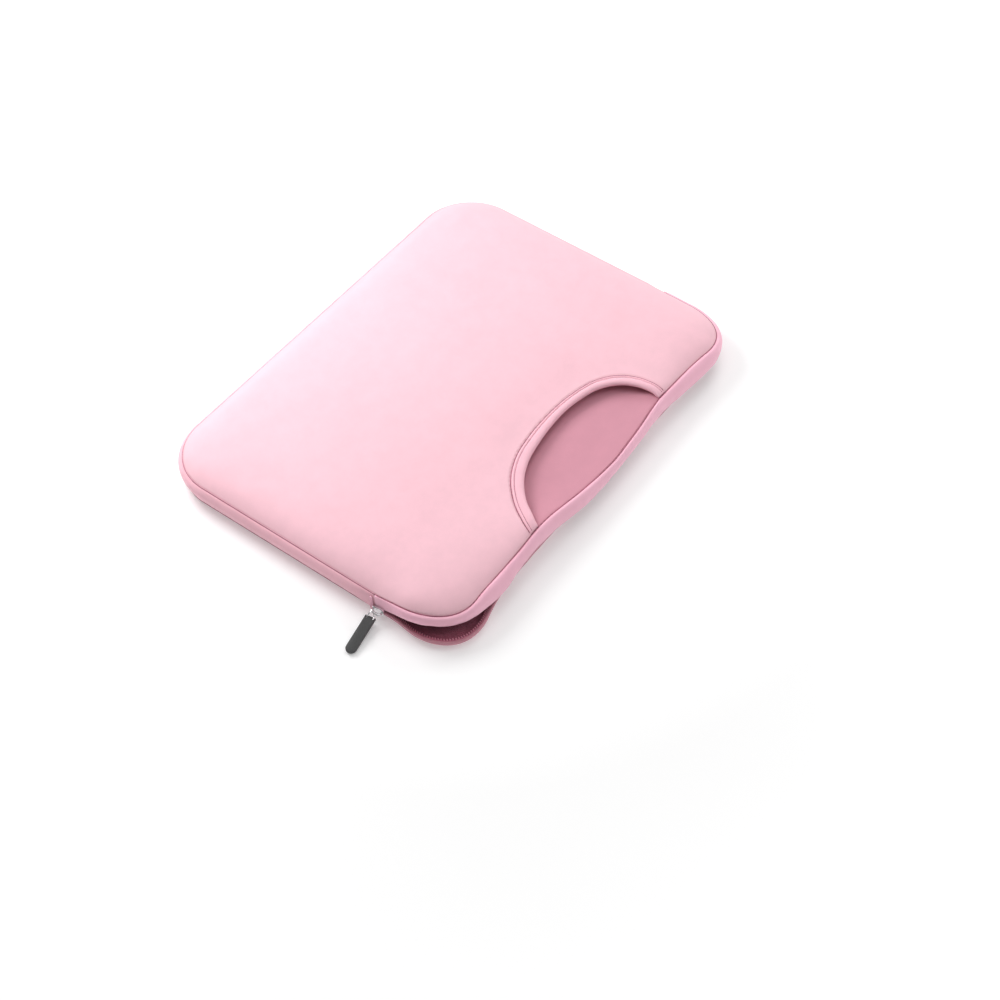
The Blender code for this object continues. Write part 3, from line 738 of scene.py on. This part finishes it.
plan_w, tris_w = plan_mesh([0.7, 1.5, 2.6, 4.0, 6.0, 8.5, 11.5, 15.0, 19.0, 24.0, 30.0], 8.0, None, 4.0)
iw = inset_of(plan_w[:, 0], plan_w[:, 1])
dimple = 0.25 * np.sin(plan_w[:, 0] / 23.0 + 1.0) * np.sin(plan_w[:, 1] / 17.0) * smooth01((iw - 4) / 20)
tw = np.minimum(wall_top(iw) + dimple, panel_under(iw) - 0.35)
verts, faces, rim = slab(plan_w, tris_w, tw, tw - 1.5 + np.where(iw > 20, 0, 0.0))
wall = make("pocket_wall_skin", settle_front(verts), faces, M_WALL)
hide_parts("pocket_wall_main", "pocket_wall_flap")
blend(wall)

plan_l, tris_l = plan_mesh([3.6, 4.6, 6.2, 8.5, 11.5, 15.0, 19.0, 24.0, 30.0], 8.0, None, 4.0)
il = inset_of(plan_l[:, 0], plan_l[:, 1])
tl = np.minimum(wall_top(il), panel_under(il) - 0.35) - 1.5 - 0.3
tl = np.minimum(tl, 13.2 + 2.2 * (1 - smooth01((il - 3.6) / 20.0)))
verts, faces, rim = slab(plan_l, tris_l, tl, tl - 0.6)
pile = 0.18 * np.sin(verts[:, 0] * 1.7) * np.sin(verts[:, 1] * 1.9 + 0.6)
verts[len(plan_l):, 2] -= np.abs(pile[len(plan_l):])
lining = make("front_lining_skin", settle_front(verts), faces, M_PLUSH)
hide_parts("front_lining_main", "front_lining_flap")
blend(lining)

# ---- rear panel and its plush --------------------------------------------------------------
plan_r, tris_r = plan_mesh([0.3, 0.5, 0.8, 1.3, 2.2, 3.4, 5.0, 7.5, 11.0, 16.0, 22.0, 29.0], 8.0, None, 3.0)
ir = inset_of(plan_r[:, 0], plan_r[:, 1])
low = np.interp(ir, [0.3, 0.8, 1.4, 2.2, 3.4, 5.0], [2.6, 1.4, 0.85, 0.42, 0.12, 0.0])
verts, faces, rim = slab(plan_r, tris_r, np.full(len(ir), 3.0), low)
rear = make("rear_panel_skin", settle_rear(verts), faces, M_REAR)
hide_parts("rear_panel")
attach(rear, "shell")

plan_q, tris_q = plan_mesh([1.6, 2.4, 3.6, 5.4, 8.0, 12.0, 17.0, 23.0, 30.0], 6.0, None, 3.0)
iq = inset_of(plan_q[:, 0], plan_q[:, 1])
pile = 0.16 * np.sin(plan_q[:, 0] * 1.3 + 0.4) * np.sin(plan_q[:, 1] * 1.5) + 0.10 * np.sin(plan_q[:, 0] * 0.31) * np.sin(plan_q[:, 1] * 0.27 + 1)
verts, faces, rim = slab(plan_q, tris_q, 3.95 + pile * smooth01((iq - 1.6) / 4), np.full(len(iq), 3.15))
plush_rear = make("rear_lining_skin", settle_rear(verts), faces, M_PLUSH)
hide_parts("rear_lining")
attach(plush_rear, "shell")

# ---- gusset, rear band and the seams that hold them, whose dark cords also paint the shade of their grooves ---
cp = closed_path()
mp = mouth_path()
section = rounded([(-.2, 3.4), (.3, 3.3), (1.0, 3.9), (1.5, 5.6), (1.65, 8.2), (1.7, 11.0), (1.7, 13.5), (1.6, 15.8), (1.3, 17.3), (.8, 18.1), (.3, 18.2), (-.2, 18.0)])
full = rounded([(-.2, 3.4), (.1, 3.3), (.6, 3.9), (1.3, 5.6), (2.3, 8.2), (3.2, 11.0), (3.6, 13.5), (3.15, 15.8), (2.2, 17.4), (1.2, 18.2), (.3, 18.3), (-.2, 18.0)])[:, 0]
v, f = strip(rear_rings(cp, section, 0.10, 5, lip=False, full=full))
gusset = make("side_gusset_skin", v, f, M_GUSSET)
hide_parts("side_gusset")
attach(gusset, "shell")

section = rounded([(-.2, 3.3), (.6, 3.25), (1.15, 3.6), (1.5, 4.6), (1.5, 5.6), (1.1, 6.25), (.3, 6.3), (-.2, 6.1)], 3)
v, f = strip(rear_rings(mp, section, 0.10, 6))
rear_band = make("rear_zip_band_skin", v, f, M_LIP)
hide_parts("rear_zip_band")
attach(rear_band, "shell")


def seam_ring(path, o, z, r, xf):
    a = 2 * math.pi * np.arange(8) / 8
    return xf(path, np.stack([o + r * np.cos(a), z + r * np.sin(a)], axis=1))


# Seam cords: the seam thread, darkened to paint the shade of the groove between panel and band.
v, f = strip(seam_ring(mp, 0.0, 18.35, 0.45, front_rings))
o = make("front_seam_line", v, f, M_SEAM_AND_SHADE)
blend(o)
v, f = strip(seam_ring(cp, 0.0, 18.35, 0.45, lambda p, s: rear_rings(p, s, lip=False)))
o = make("side_seam_line", v, f, M_SEAM_AND_SHADE)
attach(o, "shell")
v, f = strip(seam_ring(cp, 0.25, 3.15, 0.38, lambda p, s: rear_rings(p, s, lip=False)))
o = make("rear_seam_line", v, f, M_SEAM_AND_SHADE)
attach(o, "shell")
v, f = strip(seam_ring(mp, 0.25, 3.15, 0.38, rear_rings))
o = make("rear_mouth_seam_line", v, f, M_SEAM_AND_SHADE)
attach(o, "shell")

# ---- front band: a rolled ridge under the seam, then a soft flat that leans out ---------------
heights = [17.95, 18.3, 18.3, 17.8, 16.8, 15.2, 13.3, 11.4, 9.8, 8.5, 7.7, 7.6, 8.3, 13.0]
section = rounded(list(zip([-.2, .4, .9, 1.25, 1.45, 1.5, 1.5, 1.5, 1.45, 1.3, .9, .2, -.2, -.2], heights)), 4)
full = rounded(list(zip([-.2, .4, 1.3, 2.3, 3.1, 3.65, 3.65, 3.0, 2.2, 1.4, .7, .1, -.3, -.4], heights)), 4)[:, 0]
v, f = strip(front_rings(mouth_path(1.6), section, 0.20, 11, full=full))
band = make("front_zip_band_skin", v, f, M_BAND)
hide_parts("front_zip_band")
blend(band)

# ---- binding of the half-moon: piped ridge, stitched line, rolled free edge --------------------
# it rolls under more towards the far end, so it looks narrower there
SPAN = np.clip((ARC_OUTER[:, 0] - ARC_OUTER[:, 0].min()) / np.ptp(ARC_OUTER[:, 0]), 0, 1)
NARROW = 1.08 - 0.30 * smooth01((SPAN - 0.25) / 0.45)
ARC_INNER = ARC_OUTER + (ARC_INNER - ARC_OUTER) * NARROW[:, None]
profile = [(0.00, 1, -0.55), (0.03, 1, -0.05), (0.09, 1, 0.42), (0.16, 1, 0.48), (0.22, 1, 0.12), (0.255, 1, -0.40), (0.29, 1, 0.05),
           (0.36, 1, 0.45), (0.50, 1, 0.62), (0.66, 1, 0.58), (0.81, 1, 0.25), (0.93, 1, -0.40), (0.995, 1, -1.4), (0.99, 0, 0.9),
           (0.92, 0, 0.15), (0.80, 0, -0.05), (0.55, 0, 0.0), (0.25, 0, 0.0), (0.05, 0, 0.1)]
rings = []
wide = len(ARC_OUTER)
for k in range(wide):
    a, b = ARC_OUTER[k], ARC_INNER[k]
    if a[1] < -123.15:
        continue
    w = (b - a) / np.linalg.norm(b - a)
    a = a - w * 0.15
    ring = []
    for t, up, lift in profile:
        q = a + (b - a) * t
        i = max(q[1] + HALF_Y, 0.35)
        thin = min(1.0, 0.25 + i / 8.0)
        if up:
            z = arc_top(np.array(i)) + lift * thin
            z = max(z, 18.75)
        else:
            z = max(panel_under(np.array(i)) + lift * thin, 18.3)
        ring.append((q[0], q[1], float(z)))
    rings.append(ring)
v, f = strip(np.array(rings))
binding = make("pocket_binding_skin", settle_front(v), f, M_BIND)
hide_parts("pocket_mouth_binding")
blend(binding)

for name, t, r in (("binding_outer_line", -0.03, 0.36), ("binding_stitch_line", 0.255, 0.24)):
    line = []
    for a, b in zip(ARC_OUTER, ARC_INNER):
        if a[1] < -122.9:
            continue
        q = a + (b - a) * t
        i = max(q[1] + HALF_Y, 0.35)
        line.append((q[0], q[1], float(arc_top(np.array(i))) - 0.30 * min(1.0, 0.25 + i / 8.0)))
    v, f = strip(tube_rings(line, r, 8))
    o = make(name, settle_front(v), f, M_SEAM_AND_SHADE)
    blend(o)

# ---- zip: woven tapes and coil teeth ---------------------------------------------------------
for name, node, section, xf, rider in (
        ("rear_zip_tape_skin", "rear_zip_tape", [(-1.0, 4.2), (-.5, 4.2), (-.5, 6.1), (-1.0, 6.1)], rear_rings, "shell"),
        ("front_zip_tape_skin", "front_zip_tape", [(-1.0, 7.8), (-.5, 7.8), (-.5, 12.9), (-1.0, 12.9)], front_rings, "flap")):
    v, f = strip(xf(mp, np.array(section)))
    o = make(name, v, f, M_TAPE, 40)
    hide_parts(node)
    if rider == "shell":
        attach(o, rider)
    else:
        blend(o)


def coil(path, z0, z1, xf, offset):
    """Row of rounded coil turns at 1.5 mm."""
    p, n, s = path
    at = np.arange(1.2 + offset, s[-1] - 5.0, 1.5)
    shape = [(-0.50, 0.0), (-0.35, 0.42), (0.0, 0.5), (0.35, 0.42), (0.50, 0.0), (0.35, -0.42), (0.0, -0.5), (-0.35, -0.42)]
    verts, faces = [], []
    for c in at:
        rows = []
        for o, g in ((-1.25, 0.55), (-1.7, 1.0), (-2.3, 1.0), (-2.75, 0.6)):
            for ds, dz in shape:
                q = c + ds * 0.95 * g
                z = (z0 + z1) / 2 + dz * (z1 - z0) * g
                rows.append((q, o, z))
        base = len(verts)
        verts += rows
        m = len(shape)
        for r in range(3):
            faces += [(base + r * m + j, base + r * m + (j + 1) % m, base + (r + 1) * m + (j + 1) % m, base + (r + 1) * m + j) for j in range(m)]
        faces.append([base + j for j in range(m)][::-1])
        faces.append([base + 3 * m + j for j in range(m)])
    verts = np.array(verts)
    px, py = np.interp(verts[:, 0], s, p[:, 0]), np.interp(verts[:, 0], s, p[:, 1])
    nx, ny = np.interp(verts[:, 0], s, n[:, 0]), np.interp(verts[:, 0], s, n[:, 1])
    sub = (np.stack([px, py], axis=1), np.stack([nx, ny], axis=1), verts[:, 0])
    out = np.empty((len(verts), 3))
    for k in range(0, 1):
        out = xf_points(sub, verts[:, 1], verts[:, 2], xf)
    return out, faces


def xf_points(sub, o, z, xf):
    p, n, s = sub
    if xf is front_rings:
        a = np.radians(LEAN(s))
        h = (SEAM_Z - z) * WIDE(s) / BAND_H
        o2 = o * np.cos(a) + h * np.sin(a) + BOW(s)
        z2 = SEAM_Z - h * np.cos(a) + o * np.sin(a) + LIFT(s)
        return bend(np.stack([p[:, 0] + n[:, 0] * o2, p[:, 1] + n[:, 1] * o2, z2], axis=1))
    o2 = o + LIP(s)
    return np.stack([p[:, 0] + n[:, 0] * o2, p[:, 1] + n[:, 1] * o2, z], axis=1)


tooth_path = mouth_path(2.0, ZIP_START_Y, -73.2)
for name, node, z0, z1, xf, rider, off in (
        ("rear_zip_coil", "rear_zip_teeth", 4.9, 6.15, rear_rings, "shell", 0.0),
        ("front_zip_coil", "front_zip_teeth", 7.75, 9.0, front_rings, "flap", 0.75)):
    v, f = coil(tooth_path, z0, z1, xf, off)
    o = make(name, v, f, M_TEETH, 50)
    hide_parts(node)
    if rider == "shell":
        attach(o, rider)
    else:
        blend(o)

# ---- end tabs: folded tape with two rows of stitching and a dark line down each side, painted shade of the gap beside it ---
TAB_Y, TAB_HALF = ZIP_START_Y + 1.75, 1.2
for side, sx in (("left", -1), ("right", 1)):
    prof = [(-1.0, 1.93), (-0.98, 2.30), (-0.80, 2.72), (-0.45, 2.78), (0.0, 2.62), (0.45, 2.78), (0.80, 2.72), (0.98, 2.30), (1.0, 1.93)]
    rings = []
    for z in np.concatenate([[4.8, 5.0, 5.3], np.linspace(5.8, 16.2, 12), [16.7, 17.0, 17.2]]):
        shrink = 1.0 - 0.35 * (max(0, 5.3 - z) + max(0, z - 16.7))
        rings.append([(sx * (HALF_X + 1.93 + (o - 1.93) * shrink), TAB_Y + TAB_HALF * y * (0.9 + 0.1 * shrink), z) for y, o in prof])
    v, f = strip(np.array(rings))
    o = make(f"zip_end_tab_{side}_skin", v, f, M_BAND)
    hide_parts(f"zip_end_tab_{side}")
    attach(o, "shell")
    verts, faces = [], []
    for row in (-0.55, 0.55):
        for z in np.arange(5.9, 16.4, 1.5):
            pts = [(sx * (HALF_X + x), TAB_Y + row, z + dz) for x, dz in ((2.55, -0.5), (2.83, -0.3), (2.88, 0.0), (2.83, 0.3), (2.55, 0.5))]
            v, f = strip(tube_rings(pts, 0.15, 6))
            base = sum(len(a) for a in verts)
            verts.append(v)
            faces += [[i + base for i in face] for face in f]
    o = make(f"zip_end_stitches_{side}", np.concatenate(verts), faces, M_STITCH)
    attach(o, "shell")
    verts, faces = [], []
    # Dark lines down the tab's sides: painted shade of the gaps between tab and band.
    for row in (-1, 1):
        pts = [(sx * (HALF_X + 2.05), TAB_Y + row * (TAB_HALF + 0.12), z) for z in np.linspace(5.0, 17.2, 14)]
        v, f = strip(tube_rings(pts, 0.24, 8))
        faces += [[i + sum(len(a) for a in verts) for i in face] for face in f]
        verts.append(v)
    o = make(f"zip_end_shade_line_{side}", np.concatenate(verts), faces, M_SEAM_AND_SHADE)
    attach(o, "shell")

# ---- metal and rubber ------------------------------------------------------------------------
for node in ("slider_body", "zip_bottom_stop", "zip_top_stop_rear", "zip_top_stop_front"):
    obj = NODES[node]
    obj.data.materials.clear()
    obj.data.materials.append(M_CHROME)
    for poly in obj.data.polygons:
        poly.use_smooth = True
    b = obj.modifiers.new("softened", "BEVEL")
    b.width, b.segments, b.limit_method, b.angle_limit = 0.00016, 3, "ANGLE", math.radians(28)
    b.harden_normals = False


ARCH_TOP = FACE - PLATE - 3.1
arch = catmull([(FACE - 0.9, -75.95, 6.95), (ARCH_TOP + 1.55, -75.85, 6.95), (ARCH_TOP + 0.95, -75.3, 6.95), (ARCH_TOP + 0.62, -74.6, 6.95),
                (ARCH_TOP + 0.55, -73.4, 6.95), (ARCH_TOP + 0.55, -71.2, 6.95), (ARCH_TOP + 0.62, -70.0, 6.95), (ARCH_TOP + 0.95, -69.3, 6.95),
                (ARCH_TOP + 1.55, -68.85, 6.95), (FACE - 0.9, -68.8, 6.95)], 5)
v, f = strip(tube_rings(arch, 0.9, 18))
bridge = make("slider_bridge_skin", v, f, M_CHROME)
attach(bridge, "slider")


def loop_frame(p):
    """Loop drawn square to the slider, turned to its stored swing."""
    p = np.asarray(p, float) - LOOP_AT
    c, s = math.cos(YAW), math.sin(YAW)
    return np.stack([p[:, 0] * c - p[:, 1] * s, p[:, 0] * s + p[:, 1] * c, p[:, 2]], axis=1) + LOOP_AT


BAR_OUT, BAR_DROP, LEG, WIRE = 5.6, 2.3, 2.4, 0.45
upper = [(0, 0, 0.4), (0.02, 0, 0.85), (0.2, 0, 1.28), (0.65, 0.05, 1.5), (1.6, 0.3, 1.5), (2.7, 0.7, 1.4), (3.5, 1.2, 0.9),
         (4.2, 1.8, 0.0), (4.8, 2.2, -1.0), (5.3, LEG, -1.8), (BAR_OUT - 0.05, LEG - 0.1, -BAR_DROP + 0.08), (BAR_OUT, LEG - 0.5, -BAR_DROP)]
lower = [(0, 0, -0.4), (0.02, 0, -0.85), (0.2, 0, -1.28), (0.65, -0.1, -1.55), (1.5, -0.4, -1.7), (2.5, -1.1, -1.85), (3.2, -1.8, -1.97),
         (3.8, -2.3, -2.05), (4.5, -LEG, -2.14), (5.2, -LEG, -2.24), (BAR_OUT - 0.08, -LEG + 0.1, -BAR_DROP), (BAR_OUT, -LEG + 0.5, -BAR_DROP)]
loop = [(LOOP_AT[0] - r, LOOP_AT[1] + side, LOOP_AT[2] + z) for r, side, z in upper + [(BAR_OUT, 0.0, -BAR_DROP)] + lower[::-1]]
v, f = strip(tube_rings(rounded(loop, 4), WIRE, 16, True), True)
wire = make("tab_wire_loop_skin", loop_frame(v), f, M_CHROME)
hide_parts("tab_wire_loop")
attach(wire, "loop")

BAR_AT = np.array((LOOP_AT[0] - BAR_OUT, LOOP_AT[1], LOOP_AT[2] - BAR_DROP))


def tab_frame(p):
    p = np.asarray(p, float) - BAR_AT
    c, s = math.cos(-DROOP), math.sin(-DROOP)
    q = np.stack([p[:, 0] * c + p[:, 2] * s, p[:, 1], -p[:, 0] * s + p[:, 2] * c], axis=1) + BAR_AT
    return loop_frame(q)


TAB_TOP, TAB_LEN, TAB_W, TAB_T = BAR_AT[0] + 1.5, 30.0, 7.8, 2.2


def tab_plan(g):
    """Outline of the tab moved in by g: slotted square top, round end."""
    r = TAB_W / 2 - g
    cx = TAB_TOP - TAB_LEN + TAB_W / 2
    x_top = TAB_TOP - g
    pts = []
    notch, half, h = 2.15, 0.62, 0.3 * g
    for y0, y1 in ((-r, -LEG - half - h), (-LEG + half + h, LEG - half - h), (LEG + half + h, r)):
        q = min(0.35, 0.35 * (y1 - y0))
        pts += [(x_top - q, y0), (x_top - q * 0.3, y0 + q * 0.3), (x_top, y0 + q)]
        pts += [(x_top, y1 - q), (x_top - q * 0.3, y1 - q * 0.3), (x_top - q, y1)]
        if y1 < r - 0.1:
            deep, gap = TAB_TOP - notch - h, 2 * (half + h)
            pts += [(deep + 0.3, y1), (deep, y1 + 0.3), (deep, y1 + gap - 0.3), (deep + 0.3, y1 + gap)]
    for k in range(29):
        a = math.pi / 2 + math.pi * k / 28
        pts.append((cx + r * math.cos(a), r * math.sin(a)))
    return np.array(pts)


levels = [(0.55, -TAB_T / 2), (0.28, -TAB_T / 2 + 0.08), (0.10, -TAB_T / 2 + 0.26), (0.0, -TAB_T / 2 + 0.5), (0.0, TAB_T / 2 - 0.5),
          (0.10, TAB_T / 2 - 0.26), (0.28, TAB_T / 2 - 0.08), (0.50, TAB_T / 2)]
rings = [np.column_stack([tab_plan(g)[:, 0], tab_plan(g)[:, 1] + BAR_AT[1], np.full(len(tab_plan(g)), BAR_AT[2] + z)]) for g, z in levels]
v, f = strip(np.array(rings))
tab = make("pull_tab_skin", tab_frame(v), f, M_RUBBER, 40)
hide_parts("pull_tab")
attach(tab, "tab")

# ---- stage, light, camera --------------------------------------------------------------------
floor_mesh = bpy.data.meshes.new("floor")
side = 30.0
floor_mesh.from_pydata([(-side, -side, -0.0001), (side, -side, -0.0001), (side, side, -0.0001), (-side, side, -0.0001)], [], [(0, 1, 2, 3)])
floor = bpy.data.objects.new("floor", floor_mesh)
bpy.context.scene.collection.objects.link(floor)
mf = Nodes("pale_floor")
mf.link(mf.ramp(mf.noise(3.0, 2.0), [(0.3, (0.85, 0.85, 0.85, 1)), (0.7, (0.87, 0.87, 0.87, 1))]), "Base Color")
mf.set(Roughness=0.9, Specular_IOR_Level=0.1)
# Painted light: the floor glows, weakly beside the sleeve so its shadow stays and more strongly further out so the
# floor reads white.
away = mf.node("ShaderNodeVectorMath", {0: mf.at}, operation="LENGTH").outputs["Value"]
mf.link(mf.node("ShaderNodeMapRange", {"Value": away, "From Min": 0.32, "From Max": 1.0, "To Min": 0.22, "To Max": 0.80}).outputs["Result"], "Emission Strength")
mf.bsdf.inputs["Emission Color"].default_value = (1, 1, 1, 1)
floor_mesh.materials.append(mf.m)

SKY_LOW, SKY_HIGH = 0.27, 0.34
world = bpy.data.worlds.new("studio")
bpy.context.scene.world = world
world.use_nodes = True
wt = world.node_tree
sky = wt.nodes["Background"]
direction = wt.nodes.new("ShaderNodeTexCoord")
split = wt.nodes.new("ShaderNodeSeparateXYZ")
wt.links.new(direction.outputs["Generated"], split.inputs[0])
height_ramp = wt.nodes.new("ShaderNodeMapRange")
for socket, value in (("From Min", 0.0), ("From Max", 1.0), ("To Min", SKY_LOW), ("To Max", SKY_HIGH)):
    height_ramp.inputs[socket].default_value = value
wt.links.new(split.outputs["Z"], height_ramp.inputs["Value"])
wt.links.new(height_ramp.outputs["Result"], sky.inputs["Strength"])
sky.inputs["Color"].default_value = (1.0, 1.0, 1.0, 1)


def area_light(name, at, target, size, power, colour=(1, 1, 1)):
    data = bpy.data.lights.new(name, "AREA")
    data.shape = "DISK"
    data.size = size
    data.energy = power
    data.color = colour
    obj = bpy.data.objects.new(name, data)
    obj.location = at
    obj.rotation_mode = "QUATERNION"
    obj.rotation_quaternion = (Vector(target) - Vector(at)).to_track_quat("-Z", "Y")
    bpy.context.scene.collection.objects.link(obj)


area_light("key", (-0.05, 0.45, 0.42), (-0.02, 0.06, 0.02), 0.42, 3.2)
area_light("top_soft", (0.0, 0.0, 1.4), (0.0, 0.0, 0.02), 1.2, 3.5)
area_light("front_fill", (0.75, -1.0, 0.7), (0.0, 0.0, 0.02), 0.9, 4.2)
area_light("right_soft", (1.2, 0.3, 0.8), (0.0, 0.0, 0.02), 0.8, 7.0)

cam_data = bpy.data.cameras.new("camera")
cam_data.lens = 73.8
cam_data.sensor_width = 36
cam = bpy.data.objects.new("camera", cam_data)
az, el = math.radians(-53.42), math.radians(50.91)
back = Vector((math.sin(az) * math.cos(el), -math.cos(az) * math.cos(el), math.sin(el)))
cam.location = (-0.76659, -0.61160, 1.10261)
cam.rotation_mode = "QUATERNION"
cam.rotation_quaternion = (-back).to_track_quat("-Z", "Y")
cam_data.clip_start, cam_data.clip_end = 0.01, 30
bpy.context.scene.collection.objects.link(cam)
bpy.context.scene.camera = cam
bpy.context.scene.view_settings.view_transform = "Standard"
